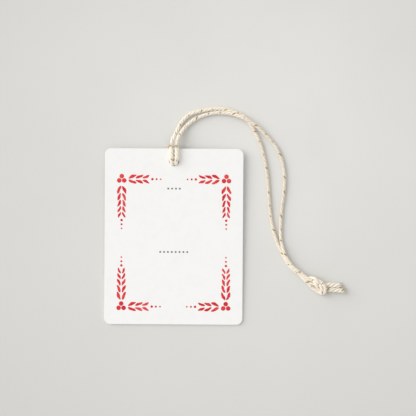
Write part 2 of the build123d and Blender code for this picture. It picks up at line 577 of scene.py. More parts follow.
@dataclass(frozen=True)
class CardPlane:
    """The card's own frame: x across, y up from its lower edge, z off its back, tilted on the table."""

    tilt: float
    lower_edge: float

    @classmethod
    def from_frame(cls, card: Card) -> "CardPlane":
        """Read the tilt from the axis of the swivel, and the place from the hole that it turns in.

        Args:
            card: The card's sizes.

        Returns:
            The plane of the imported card.
        """
        joints = frame["record"]["behaviour"]["joints"]
        swivel = next(joint for joint in joints if joint["name"] == "hitch_swivel")
        tilt = math.atan2(-swivel["axis"][1], swivel["axis"][2])
        hole = card.height - card.hole_to_top
        reach = hole * math.cos(tilt) - card.thickness / 2 * math.sin(tilt)
        return cls(tilt, swivel["pos_m"][1] - reach)

    def on_table(self, points: Array | list[Point] | Point) -> Array:
        """Turn points of the card's frame about X by the tilt, and move them to the card's place.

        Args:
            points: One point or any grid of points in the card's frame.

        Returns:
            The same points in the shared frame.
        """
        x, y, z = np.moveaxis(np.asarray(points, dtype=float), -1, 0)
        along = y * math.cos(self.tilt) - z * math.sin(self.tilt) + self.lower_edge
        above = y * math.sin(self.tilt) + z * math.cos(self.tilt)
        return np.stack([x, along, above], axis=-1)


@dataclass
class TwineRoute:
    """The way of the twine from tail to tail: knot, inner strand, hitch, outer strand, knot.

    The hitch is given in the card's frame, the strands from the middle of the neck and above the
    table, and the knot with its tails from the knot's middle, along and across its heading.
    """

    plane: CardPlane
    # The hitch: how far each strand lies aside, its level and its height.
    neck_side: float = 0.00125
    bulge_side: float = 0.00138
    hole_side: float = 0.00086
    leg_side: float = 0.0027
    front_level: float = 0.00225
    bulge_level: float = 0.00238
    back_level: float = -0.00102
    band_level: float = 0.0034
    turn_height: float = 0.0811
    turn_ease: float = 0.0030
    bulge_height: float = 0.0866
    band_height: float = 0.0904
    band_shift: float = -0.0004
    neck_height: float = 0.0925
    neck_lead: float = 0.0015
    neck_lean: float = 0.0006
    # The knot: where it starts from the neck, its heading, its length and half the strands' spacing.
    knot_entry: tuple[float, float] = (0.0682, -0.0700)
    knot_heading: float = math.radians(-21.0)
    knot_length: float = 0.009
    knot_side: float = 0.00086
    # How finely the line is read.
    points_per_corner: int = 24
    step: float = 0.0002
    # The free strands, from the neck to the knot.
    inner: tuple[Point, ...] = (
        (0.0004, 0.0036, 0.0031),
        (0.0017, 0.0064, 0.0018),
        (0.0034, 0.0098, 0.00116),
        (0.0062, 0.0130, 0.00114),
        (0.0100, 0.0150, 0.00114),
        (0.0149, 0.0159, 0.00114),
        (0.0200, 0.0168, 0.00114),
        (0.0252, 0.0168, 0.00114),
        (0.0304, 0.0152, 0.0011),
        (0.0353, 0.0133, 0.00107),
        (0.0380, 0.0097, 0.00105),
        (0.0408, 0.0053, 0.00103),
        (0.0430, 0.0008, 0.00101),
        (0.0447, -0.0040, 0.00099),
        (0.0462, -0.0105, 0.00097),
        (0.0473, -0.0180, 0.00097),
        (0.0479, -0.0255, 0.00097),
        (0.0484, -0.0322, 0.00097),
        (0.0491, -0.0392, 0.00097),
        (0.0504, -0.0446, 0.00097),
        (0.0517, -0.0490, 0.00097),
        (0.0530, -0.0523, 0.00097),
        (0.0545, -0.0550, 0.00097),
        (0.0556, -0.0580, 0.00097),
        (0.0579, -0.0615, 0.00097),
        (0.0601, -0.0642, 0.00099),
    )
    outer: tuple[Point, ...] = (
        (0.0028, 0.0036, 0.0031),
        (0.0045, 0.0064, 0.0018),
        (0.0080, 0.0100, 0.00116),
        (0.0128, 0.0128, 0.00114),
        (0.0180, 0.0145, 0.00114),
        (0.0234, 0.0150, 0.00116),
        (0.0293, 0.0143, 0.0016),
        (0.0343, 0.0125, 0.0028),
        (0.0388, 0.0102, 0.0028),
        (0.0436, 0.0064, 0.0016),
        (0.0475, 0.0024, 0.00105),
        (0.0514, -0.0020, 0.00101),
        (0.0541, -0.0075, 0.00097),
        (0.0556, -0.0132, 0.00097),
        (0.0560, -0.0196, 0.00097),
        (0.0555, -0.0261, 0.00097),
        (0.0546, -0.0326, 0.00097),
        (0.0541, -0.0387, 0.00097),
        (0.0539, -0.0440, 0.00097),
        (0.0540, -0.0486, 0.0011),
        (0.0546, -0.0520, 0.0016),
        (0.0554, -0.0546, 0.0021),
        (0.0563, -0.0574, 0.0023),
        (0.0585, -0.0607, 0.0023),
        (0.0607, -0.0635, 0.0024),
    )
    # Along and across the knot's heading and above the table, then the way in which the strands lie
    # apart. The pair goes over itself at the third point, under at the fourth and over at the sixth,
    # then under, over and under the same three crossings, which is an overhand knot.
    knot: tuple[tuple[Point, Point], ...] = (
        ((-0.0098, 0.0020, 0.0018), (0.2, 0.45, 0.85)),
        ((-0.0069, 0.0007, 0.0021), (0.25, 0.75, 0.6)),
        ((-0.0042, -0.0001, 0.0027), (0.0, 1.0, 0.2)),
        ((-0.0017, 0.0004, 0.0025), (-0.2, 1.0, 0.0)),
        ((0.0006, 0.0013, 0.0032), (0.0, 1.0, 0.2)),
        ((0.0030, 0.0004, 0.0040), (0.7, 0.7, 0.0)),
        ((0.0046, -0.0022, 0.0032), (0.9, 0.1, 0.2)),
        ((0.0036, -0.0031, 0.0015), (0.6, -0.7, 0.1)),
        ((0.0006, -0.0022, 0.0010), (0.0, -1.0, 0.0)),
        ((-0.0030, -0.0009, 0.0010), (-0.4, -0.9, 0.0)),
        ((-0.0046, 0.0003, 0.0010), (-1.0, 0.0, 0.0)),
        ((-0.0035, 0.0018, 0.0023), (-0.5, 0.5, 0.7)),
        ((-0.0014, 0.0016, 0.0041), (0.1, 0.8, 0.6)),
        ((0.0007, -0.0004, 0.0032), (0.4, 0.9, 0.0)),
        ((0.0027, -0.0007, 0.0018), (0.2, 1.0, 0.0)),
    )
    upper_tail: tuple[Point, ...] = (
        (0.0048, 0.0015, 0.0015),
        (0.0082, 0.0026, 0.0014),
        (0.0118, 0.0038, 0.0014),
    )
    lower_tail: tuple[Point, ...] = (
        (0.0053, -0.0007, 0.0013),
        (0.0086, 0.0003, 0.0014),
        (0.0115, 0.0012, 0.0014),
        (0.0143, 0.0019, 0.0014),
    )

    def neck(self) -> Array:
        """Middle of the neck, where both strands leave the hitch."""
        return self.plane.on_table((0.0, self.neck_height, self.front_level))

    def in_knot(self, points: Array | tuple[Point, ...]) -> Array:
        """Turn points of the knot's frame to its heading, and move them to its place.

        Args:
            points: Points x 3, along the heading, across it and above the table.

        Returns:
            The same points in the shared frame.
        """
        x, y, z = np.moveaxis(np.asarray(points, dtype=float), -1, 0)
        x = x + self.knot_length / 2
        cosine = math.cos(self.knot_heading)
        sine = math.sin(self.knot_heading)
        start = self.neck()[:2] + np.array(self.knot_entry)
        ahead = start[0] + x * cosine - y * sine
        aside = start[1] + x * sine + y * cosine
        return np.stack([ahead, aside, z], axis=-1)

    def hitch_half(self, side: Side) -> Array:
        """Corners from the top of the band to past the neck: leg, hole, front strand.

        Args:
            side: Which strand.

        Returns:
            The corners in the shared frame.
        """
        hole = side.value * self.hole_side
        bulge = side.value * self.bulge_side
        neck = side.value * self.neck_side
        leg = side.value * self.leg_side + self.band_shift
        ease = self.turn_ease / (self.band_height - self.turn_height)
        corners = [
            (leg, self.band_height, self.band_level),
            (leg, self.band_height, self.back_level),
            (hole + (leg - hole) * ease, self.turn_height + self.turn_ease, self.back_level),
            (hole, self.turn_height, self.back_level),
            (hole, self.turn_height, self.bulge_level),
            (bulge, self.turn_height + self.turn_ease, self.bulge_level),
            (bulge, self.bulge_height, self.bulge_level),
            (neck, self.neck_height, self.front_level),
            (neck + self.neck_lean, self.neck_height + self.neck_lead, self.front_level),
        ]
        return self.plane.on_table(corners)

    def half(self, side: Side) -> Array:
        """Control points of one half of the twine, from the band of the hitch to the end of its tail.

        Args:
            side: Which strand.

        Returns:
            The points in the shared frame.
        """
        strand = self.inner if side is Side.LEFT else self.outer
        tail = self.lower_tail if side is Side.LEFT else self.upper_tail
        run = np.array(strand)
        run[:, :2] += self.neck()[:2]
        middles = np.array([middle for middle, _ in self.knot])
        apart = unit(np.array([way for _, way in self.knot]))
        knot = middles + apart * side.value * self.knot_side
        return np.concatenate([self.hitch_half(side), run, self.in_knot(knot), self.in_knot(tail)])

    def line(self) -> tuple[Array, Array]:
        """Points read from the smooth spline on the route, evenly spaced.

        Returns:
            The points from the end of the inner strand's tail to the end of the outer strand's, and
            their distance along the twine, which is zero at the middle of the hitch's band.
        """
        left = self.half(Side.LEFT)
        right = self.half(Side.RIGHT)
        route = np.concatenate([left[::-1], right])
        curve = bpy.data.curves.new("twine_route", "CURVE")
        curve.dimensions = "3D"
        spline = curve.splines.new("NURBS")
        spline.points.add(len(route) - 1)
        spline.points.foreach_set("co", np.pad(route, ((0, 0), (0, 1)), constant_values=1.0).ravel())
        spline.order_u = 3
        spline.use_endpoint_u = True
        spline.resolution_u = self.points_per_corner
        guide = bpy.data.objects.new("twine_route", curve)
        mesh = bpy.data.meshes.new_from_object(guide)
        points = np.empty(len(mesh.vertices) * 3)
        mesh.vertices.foreach_get("co", points)
        points = points.reshape(-1, 3)
        bpy.data.objects.remove(guide)
        bpy.data.curves.remove(curve)
        bpy.data.meshes.remove(mesh)
        lengths = np.concatenate([[0.0], np.cumsum(np.linalg.norm(np.diff(points, axis=0), axis=1))])
        band = self.plane.on_table((self.band_shift, self.band_height, self.band_level))
        middle = lengths[np.argmin(np.linalg.norm(points - band, axis=1))]
        first = math.ceil(-middle / self.step)
        last = math.floor((lengths[-1] - middle) / self.step)
        along = np.arange(first, last + 1) * self.step
        even = np.stack([np.interp(along + middle, lengths, axis) for axis in points.T], axis=-1)
        return even, along


def steady_frames(points: Array, guide: Array) -> tuple[Array, Array, Array]:
    """Directions along a line that turn with it and never spin about it.

    A guide direction, laid square to the line, spins about it at some rate. The sum of that spin is
    taken off again, which leaves a frame that doesn't twist.

    Args:
        points: Points along the line, evenly spaced.
        guide: A direction that the line never runs along.

    Returns:
        The tangent, and two directions square to it and to each other, at each point.
    """
    tangent = unit(np.gradient(points, axis=0))
    across = unit(guide - (tangent @ guide)[:, None] * tangent)
    beside = np.cross(tangent, across)
    spin = (np.diff(across, axis=0) * (beside[1:] + beside[:-1]) / 2).sum(axis=1)
    turn = -np.concatenate([[0.0], np.cumsum(spin)])[:, None]
    steady = across * np.cos(turn) + beside * np.sin(turn)
    return tangent, steady, np.cross(tangent, steady)


@dataclass
class Twine:
    """One length of three-ply twine, cut into the pieces that move apart: strands, necks, hitch."""

    route: TwineRoute
    finish: TwineFinish
    # The whole twine, and how its plies wind about it.
    lay: Lay = Lay.S
    diameter: float = 0.0018
    frame_guide: Point = (0.48, 0.62, 0.62)
    pitch: float = 0.0064
    start_angle: float = -1.1
    # Waves with a reach in millimetres, on the turn of the plies and on the swell of the twine.
    uneven_turn: tuple[Wave, ...] = ((0.22, 3.7, 0.0), (0.15, 1.45, 1.0))
    uneven_swell: tuple[Wave, ...] = ((0.035, 2.9, 0.0), (0.03, 1.13, 2.0))
    # The plies and their yarns.
    plies: int = 3
    ply_offset: float = 0.00040
    ply_depth: float = 0.00043
    ply_width: float = 0.00050
    ply_sides: int = 24
    ply_pattern_shift: float = 40.0
    yarns: int = 4
    yarn_ridge: float = 0.05
    # The gold thread: its place about the ply, its size, and its rise and dive as shares of its depth.
    thread_place: float = 0.2
    thread_wander: float = 0.45
    thread_wander_rate: float = 0.37
    thread_width: float = 0.00042
    thread_depth: float = 0.00007
    thread_dive: float = 0.85
    thread_under: float = 0.35
    thread_fade: float = 0.8
    thread_fade_rate: float = 0.61
    thread_lowest: float = 2.0
    thread_sides: int = 10
    # Distance from the middle of the hitch's band, and how full the twine is there: drawn tight in the
    # band and behind the card, open in the hole and on the front, pinched under the band.
    fullness_along: tuple[tuple[float, float], ...] = (
        (0.0, 0.68),
        (0.0040, 0.68),
        (0.0060, 0.80),
        (0.0135, 0.84),
        (0.0150, 1.18),
        (0.0172, 1.26),
        (0.0200, 1.52),
        (0.0252, 1.58),
        (0.0273, 0.92),
        (0.0300, 1.26),
        (0.0360, 1.20),
        (0.0600, 1.18),
        (0.0800, 1.08),
        (0.0950, 1.0),
    )
    # Distance from the middle of the hitch's band, and how the plies are wound there, -1 loose to 1 hard.
    # In colour, loose goes back toward plain cotton and hard browns it: painted shade in the sunk band
    # of the hitch, and a browner tone on the strands that run down the right.
    winding_along: tuple[tuple[float, float], ...] = (
        (0.0, 1.0),
        (0.0040, 1.0),
        (0.0060, 0.4),
        (0.0135, 0.2),
        (0.0160, -0.7),
        (0.0250, -0.7),
        (0.0300, -0.8),
        (0.0380, -0.5),
        (0.0600, -0.5),
        (0.0750, 0.0),
        (0.0900, 0.35),
        (0.1250, 0.35),
        (0.1400, 0.0),
        (0.1500, -0.3),
        (0.1800, -0.3),
        (0.1920, -0.8),
    )
    # The tails: how much the plies swell and open, how far from the cut end, and how the end closes.
    loosening: float = 0.36
    opening: float = 0.26
    loose_from: float = 0.0125
    loose_to: float = 0.0050
    end_taper: float = 0.0018
    end_bluntness: float = 0.02
    # Where the pieces meet, as heights on the card, and two more heights on the card,
    # which build turns to points that nothing uses.
    neck_from: float = 0.0913
    neck_to: float = 0.0993
    blend_start: float = 0.0926
    blend_end: float = 0.0976
    # Distances from the middle of the band: past the hitch, on a free strand, and behind the card.
    hitch_reach: float = 0.05
    free_at: float = 0.1
    behind_card: Span = (0.007, 0.013)
    # Loose fibres of either kind.
    fibre_rings: int = 5
    fibre_sides: int = 3
    fibre_taper: float = 0.6
    fibre_guide: Point = (0.31, 0.17, 0.94)
    # Stray hairs along the twine, whose rise, sweep and bow are shares of their length.
    hair_spacing: float = 0.0007
    hair_radius: float = 0.000022
    hair_length: Span = (0.0007, 0.0020)
    hair_root: float = 0.6
    hair_turn: Span = (-0.9, 0.9)
    hair_rise: Span = (0.05, 0.45)
    hair_sweep: Span = (-0.5, 0.5)
    hair_bow: Span = (0.05, 0.2)
    # Frayed fibres at the end of each ply, whose length is counted from the cut.
    tuft_fibres: int = 60
    tuft_radius: float = 0.000055
    tuft_length: Span = (-0.0003, 0.0010)
    tuft_fill: Span = (-0.8, 0.8)
    tuft_lean: float = 0.12
    tuft_fan_out: float = 0.25
    tuft_fan_around: float = 0.3
    tuft_bow: float = 0.1
    seed: int = 11
    # What is worked out once, at each point of the line.
    points: Array = field(init=False)
    along: Array = field(init=False)
    frames: tuple[Array, Array, Array] = field(init=False)
    swell: Array = field(init=False)
    spacing: Array = field(init=False)
    to_end: Array = field(init=False)
    winding: Array = field(init=False)
    angle: Array = field(init=False)
    shown_at: Array = field(init=False)
    turns: Array = field(init=False)
    random: np.random.Generator = field(init=False)

    def __post_init__(self) -> None:
        """Read the line once, with the frame that follows it and the twine's swell along it."""
        self.points, self.along = self.route.line()
        self.turns = np.arange(self.plies) * FULL_TURN / self.plies
        self.frames = steady_frames(self.points, unit(np.array(self.frame_guide)))
        self.to_end = np.minimum(self.along - self.along[0], self.along[-1] - self.along)
        self.swell, self.spacing = self.fullness()
        self.winding = np.interp(np.abs(self.along), *np.array(self.winding_along).T)
        wound = self.lay.value * FULL_TURN * self.along / self.pitch
        self.angle = self.start_angle + wound + waves(self.along * MILLIMETRES, self.uneven_turn)
        self.shown_at = self.upward()
        self.random = np.random.default_rng(self.seed)

    def fullness(self) -> tuple[Array, Array]:
        """Swell of the twine along its length.

        It is one on the free strands, with a slow uneven swell, follows fullness_along in the hitch,
        and is larger at the tails, where the plies also open.

        Returns:
            The swell of the plies, and of their distance from the twine's line.
        """
        swell = 1.0 + waves(self.along * MILLIMETRES, self.uneven_swell)
        swell = swell * np.interp(np.abs(self.along), *np.array(self.fullness_along).T)
        loose = 1.0 - smooth_step(self.to_end, self.loose_to, self.loose_from)
        swell = swell * (1.0 + self.loosening * loose)
        return swell, swell * (1.0 + self.opening * loose)

    def upward(self) -> Array:
        """Angle about the line, in its frame, of the side that lies up.

        It is that of the band in the middle of the hitch, and that of the free strand on each side,
        with a smooth change behind the card.

        Returns:
            The angle at each point of the line.
        """
        _, across, beside = self.frames
        angles = np.arctan2(beside[:, 2], across[:, 2])
        band = np.interp(0.0, self.along, angles)
        left, right = np.interp([-self.free_at, self.free_at], self.along, angles)
        change = smooth_step(np.abs(self.along), *self.behind_card)
        return band + (np.where(self.along < 0.0, left, right) - band) * change

    def directions(self, where: Array, turn: float | Array) -> tuple[Array, Array]:
        """Directions square to the line at a turn about it, which winds with the plies.

        Args:
            where: Indices of points of the line.
            turn: Angle from the first ply, for all points or for each.

        Returns:
            The directions outwards and around, at each point.
        """
        _, across, beside = (part[where] for part in self.frames)
        angle = (self.angle[where] + turn)[..., None]
        outwards = across * np.cos(angle) + beside * np.sin(angle)
        around = beside * np.cos(angle) - across * np.sin(angle)
        return outwards, around

    def rings(self, where: Array, turn: float, reach: Array, swing: Array) -> Array:
        """Rings of points off the line: each goes outwards by its reach and around by its swing.

        Args:
            where: Indices of points of the line.
            turn: Angle from the first ply.
            reach: Points x sides.
            swing: Points x sides.

        Returns:
            Points x sides x 3.
        """
        outwards, around = self.directions(where, turn)
        rings = self.points[where][:, None] + outwards[:, None] * reach[..., None]
        return rings + around[:, None] * swing[..., None]

    def ply_rings(self, where: Array, turn: float) -> Array:
        """Rings of one ply: an oval, ridged by its yarns, whose middle winds about the twine's line.

        The oval is deeper along the turn than along the radius. The ridges stay at one angle about
        the twine's own line, as the yarns do that are spun the other way, and at a cut end the oval
        closes like a quarter of an ellipse.

        Args:
            where: Indices of points of the line.
            turn: The ply's angle from the first ply.

        Returns:
            Points x sides x 3.
        """
        ring = np.linspace(0.0, FULL_TURN, self.ply_sides, endpoint=False)[None]
        ridge = 1.0 + self.yarn_ridge * np.cos(self.yarns * (ring + self.angle[where][:, None]))
        from_full = 1.0 - np.clip(self.to_end[where] / self.end_taper, 0.0, 1.0)
        closing = np.sqrt(np.maximum(1.0 - from_full**2, self.end_bluntness))
        body = self.swell[where][:, None] * ridge * closing[:, None]
        reach = self.ply_offset * self.spacing[where][:, None] + self.ply_depth * body * np.cos(ring)
        return self.rings(where, turn, reach, self.ply_width * body * np.sin(ring))

    def thread_rings(self, where: Array) -> Array:
        """Rings of the gold thread: a lens bent over the side of the first ply, which dips in and out.

        A ring spreads about the ply by the sine of its parameter and rises by the cosine. The thread
        is highest twice in each turn of the ply, on the upper and on the under side, a little less
        there, and sinks by one minus the cosine of twice the angle from the top, so it shows as dashes.
        Slow waves move it about the ply and make some dashes fainter.

        Args:
            where: Indices of points of the line.

        Returns:
            Points x sides x 3.
        """
        angle = self.angle[where][:, None]
        place = self.thread_place + self.thread_wander * np.sin(self.thread_wander_rate * angle)
        from_top = angle + place - self.shown_at[where][:, None]
        sink = self.thread_dive * (1.0 - np.cos(2.0 * from_top))
        sink = sink + self.thread_under * (0.5 - 0.5 * np.cos(from_top))
        sink = sink + self.thread_fade * (0.5 + 0.5 * np.sin(self.thread_fade_rate * angle))
        ring = np.linspace(0.0, FULL_TURN, self.thread_sides, endpoint=False)[None]
        rise = self.thread_depth / self.ply_depth * (np.cos(ring) - np.minimum(sink, self.thread_lowest))
        swell = self.swell[where][:, None]
        bent = place + self.thread_width / (self.ply_width * swell) * np.sin(ring)
        reach = self.ply_offset * self.spacing[where][:, None]
        reach = reach + self.ply_depth * (swell + rise) * np.cos(bent)
        return self.rings(where, 0.0, reach, self.ply_width * (swell + rise) * np.sin(bent))

    def pattern_places(self, where: Array, sides: int, shift: float) -> Array:
        """Pattern places: distance along the twine in millimetres, and share of the way around.

        Args:
            where: Indices of points of the line.
            sides: Of a ring.
            shift: Added to the distance, so that the plies differ.

        Returns:
            Points x (sides + 1) x 2.
        """
        along = self.along[where] * MILLIMETRES + shift
        around = np.linspace(0.0, 1.0, sides + 1)
        return np.stack(np.meshgrid(along, around, indexing="ij"), axis=-1)

    def add_fibres(self, skin: Skin, roots: Array, reach: Array, lift: Array, radius: float) -> None:
        """Add thin tapered fibres, each a bowed line from a root.

        A fibre's spine is its root plus its reach times t, plus its lift times 4t(1 - t).

        Args:
            skin: Where the faces go.
            roots: Fibres x 3.
            reach: Fibres x 3, from the root to the tip of a straight fibre.
            lift: Fibres x 3, how far the middle of the fibre bows aside.
            radius: Of the fibre at its root.
        """
        t = np.linspace(0.0, 1.0, self.fibre_rings)[None, :, None]
        spine = roots[:, None] + reach[:, None] * t + lift[:, None] * (4.0 * t * (1.0 - t))
        ahead = unit(np.gradient(spine, axis=1))
        side = unit(np.cross(ahead, np.array(self.fibre_guide)))
        other = np.cross(ahead, side)
        ring = np.linspace(0.0, FULL_TURN, self.fibre_sides, endpoint=False)
        thin = radius * (1.0 - self.fibre_taper * t)[..., None]
        spokes = side[:, :, None] * np.cos(ring)[:, None] + other[:, :, None] * np.sin(ring)[:, None]
        rings = spine[:, :, None] + spokes * thin
        places = np.zeros(rings.shape[:2] + (self.fibre_sides + 1, 2))
        skin.add_tubes(rings, places, winding=-1.0)

    def add_hairs(self, skin: Skin, where: Array) -> None:
        """Add stray fibres that stand a little off the plies, and never reach under the table.

        Args:
            skin: Where the faces go.
            where: Indices of points of the line.
        """
        count = int(len(where) * self.route.step / self.hair_spacing)
        root = self.random.choice(where, count)
        turn = self.random.choice(self.turns, count) + self.random.uniform(*self.hair_turn, count)
        outwards, around = self.directions(root, turn)
        length = self.random.uniform(*self.hair_length, count)[:, None]
        way = self.random.choice([-1.0, 1.0], count)[:, None]
        rise = self.random.uniform(*self.hair_rise, count)[:, None]
        sweep = self.random.uniform(*self.hair_sweep, count)[:, None]
        bow = self.random.uniform(*self.hair_bow, count)
        roots = self.points[root] + outwards * (self.ply_offset + self.ply_depth * self.hair_root)
        reach = (self.frames[0][root] * way + outwards * rise + around * sweep) * length
        reach[:, 2] = np.maximum(reach[:, 2], self.hair_radius - roots[:, 2])
        lift = np.zeros_like(reach)
        lift[:, 2] = np.abs(outwards[:, 2] * (length[:, 0] * bow))
        self.add_fibres(skin, roots, reach, lift, self.hair_radius)

    def add_tuft(self, skin: Skin, end: int, way: float) -> None:
        """Add the frayed fibres at a cut end, fanned about the end of each ply.

        Args:
            skin: Where the faces go.
            end: Index of the line's end.
            way: 1 where the line runs out of the end, -1 where it runs into it.
        """
        where = np.full(self.tuft_fibres, end)
        tangent = self.frames[0][where] * way
        for turn in self.turns:
            outwards, around = self.directions(where, turn)
            inside = self.random.uniform(*self.tuft_fill, (2, self.tuft_fibres, 1))
            depth = self.ply_offset * self.spacing[end] + inside[0] * self.ply_depth * self.swell[end]
            roots = self.points[where] - tangent * self.end_taper
            roots = roots + outwards * depth + around * inside[1] * self.ply_width
            length = self.random.uniform(*self.tuft_length, (self.tuft_fibres, 1)) + self.end_taper
            spread = outwards * (self.tuft_lean + self.tuft_fan_out * inside[0])
            spread = spread + around * self.tuft_fan_around * inside[1]
            reach = unit(tangent + spread) * length
            reach[:, 2] = np.maximum(reach[:, 2], self.tuft_radius - roots[:, 2])
            self.add_fibres(skin, roots, reach, spread * length * self.tuft_bow, self.tuft_radius)

    def piece(self, name: str, start: float, end: float, material: bpy.types.Material) -> bpy.types.Object:
        """Make the plies, the gold thread and stray fibres of one stretch of the twine.

        Args:
            name: Name of the piece.
            start: Distance along the twine where it starts.
            end: Distance along the twine where it ends.
            material: The twine's material.

        Returns:
            The piece, in its material slot.
        """
        first = int(np.searchsorted(self.along, start - self.route.step / 2))
        last = int(np.searchsorted(self.along, end + self.route.step / 2))
        where = np.arange(first, last)
        skin = Skin()
        for turn in self.turns:
            places = self.pattern_places(where, self.ply_sides, self.ply_pattern_shift * turn)
            winding = self.winding[None, where, None]
            skin.add_tubes(self.ply_rings(where, turn)[None], places[None], winding=winding)
        places = self.pattern_places(where, self.thread_sides, 0.0)
        skin.add_tubes(self.thread_rings(where)[None], places[None], gold=1.0)
        self.add_hairs(skin, where)
        if first == 0:
            self.add_tuft(skin, first, -1.0)
        if last == len(self.along):
            self.add_tuft(skin, last - 1, 1.0)
        made = skin.to_object(name, material)
        return made

    def along_at(self, side: Side, height: float) -> float:
        """Find where a side's front strand passes a height on the card.

        Args:
            side: Which strand.
            height: Above the card's lower edge, in its frame.

        Returns:
            Distance along the twine.
        """
        level = self.route.plane.on_table((0.0, height, self.route.front_level))[1]
        away = self.along * side.value
        near = np.flatnonzero((away > 0.0) & (away < self.hitch_reach))
        near = near if side is Side.RIGHT else near[::-1]
        front = near[np.argmin(self.points[near, 1]):]
        return float(self.along[front[np.argmax(self.points[front, 1] > level)]])

    def build(self) -> None:
        material = self.finish.material()
        left_from = self.along_at(Side.LEFT, self.neck_from)
        left_to = self.along_at(Side.LEFT, self.neck_to)
        right_from = self.along_at(Side.RIGHT, self.neck_from)
        right_to = self.along_at(Side.RIGHT, self.neck_to)
        inner = self.piece("twine_inner_length", self.along[0], left_to, material)
        neck_left = self.piece("twine_neck_left", left_to, left_from, material)
        hitch = self.piece("twine_hitch_turns", left_from, right_from, material)
        neck_right = self.piece("twine_neck_right", right_from, right_to, material)
        outer = self.piece("twine_outer_length", right_to, self.along[-1], material)
        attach(hitch, "hitch")
        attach(inner, "twine")
        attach(outer, "twine")
        level = self.route.front_level
        start = self.route.plane.on_table((0.0, self.blend_start, level))
        end = self.route.plane.on_table((0.0, self.blend_end, level))
        for neck in (neck_left, neck_right):
            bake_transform(neck)
        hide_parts("twine_hitch")
        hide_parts("twine_strand_inner", "twine_tail_lower", "twine_knot")
        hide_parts("twine_strand_outer", "twine_tail_upper")
        self.declare()
        self.declare()

    def declare(self) -> None:
        """Work out the middle of the neck, and keep nothing of it.
        """
        tuple(self.route.neck())


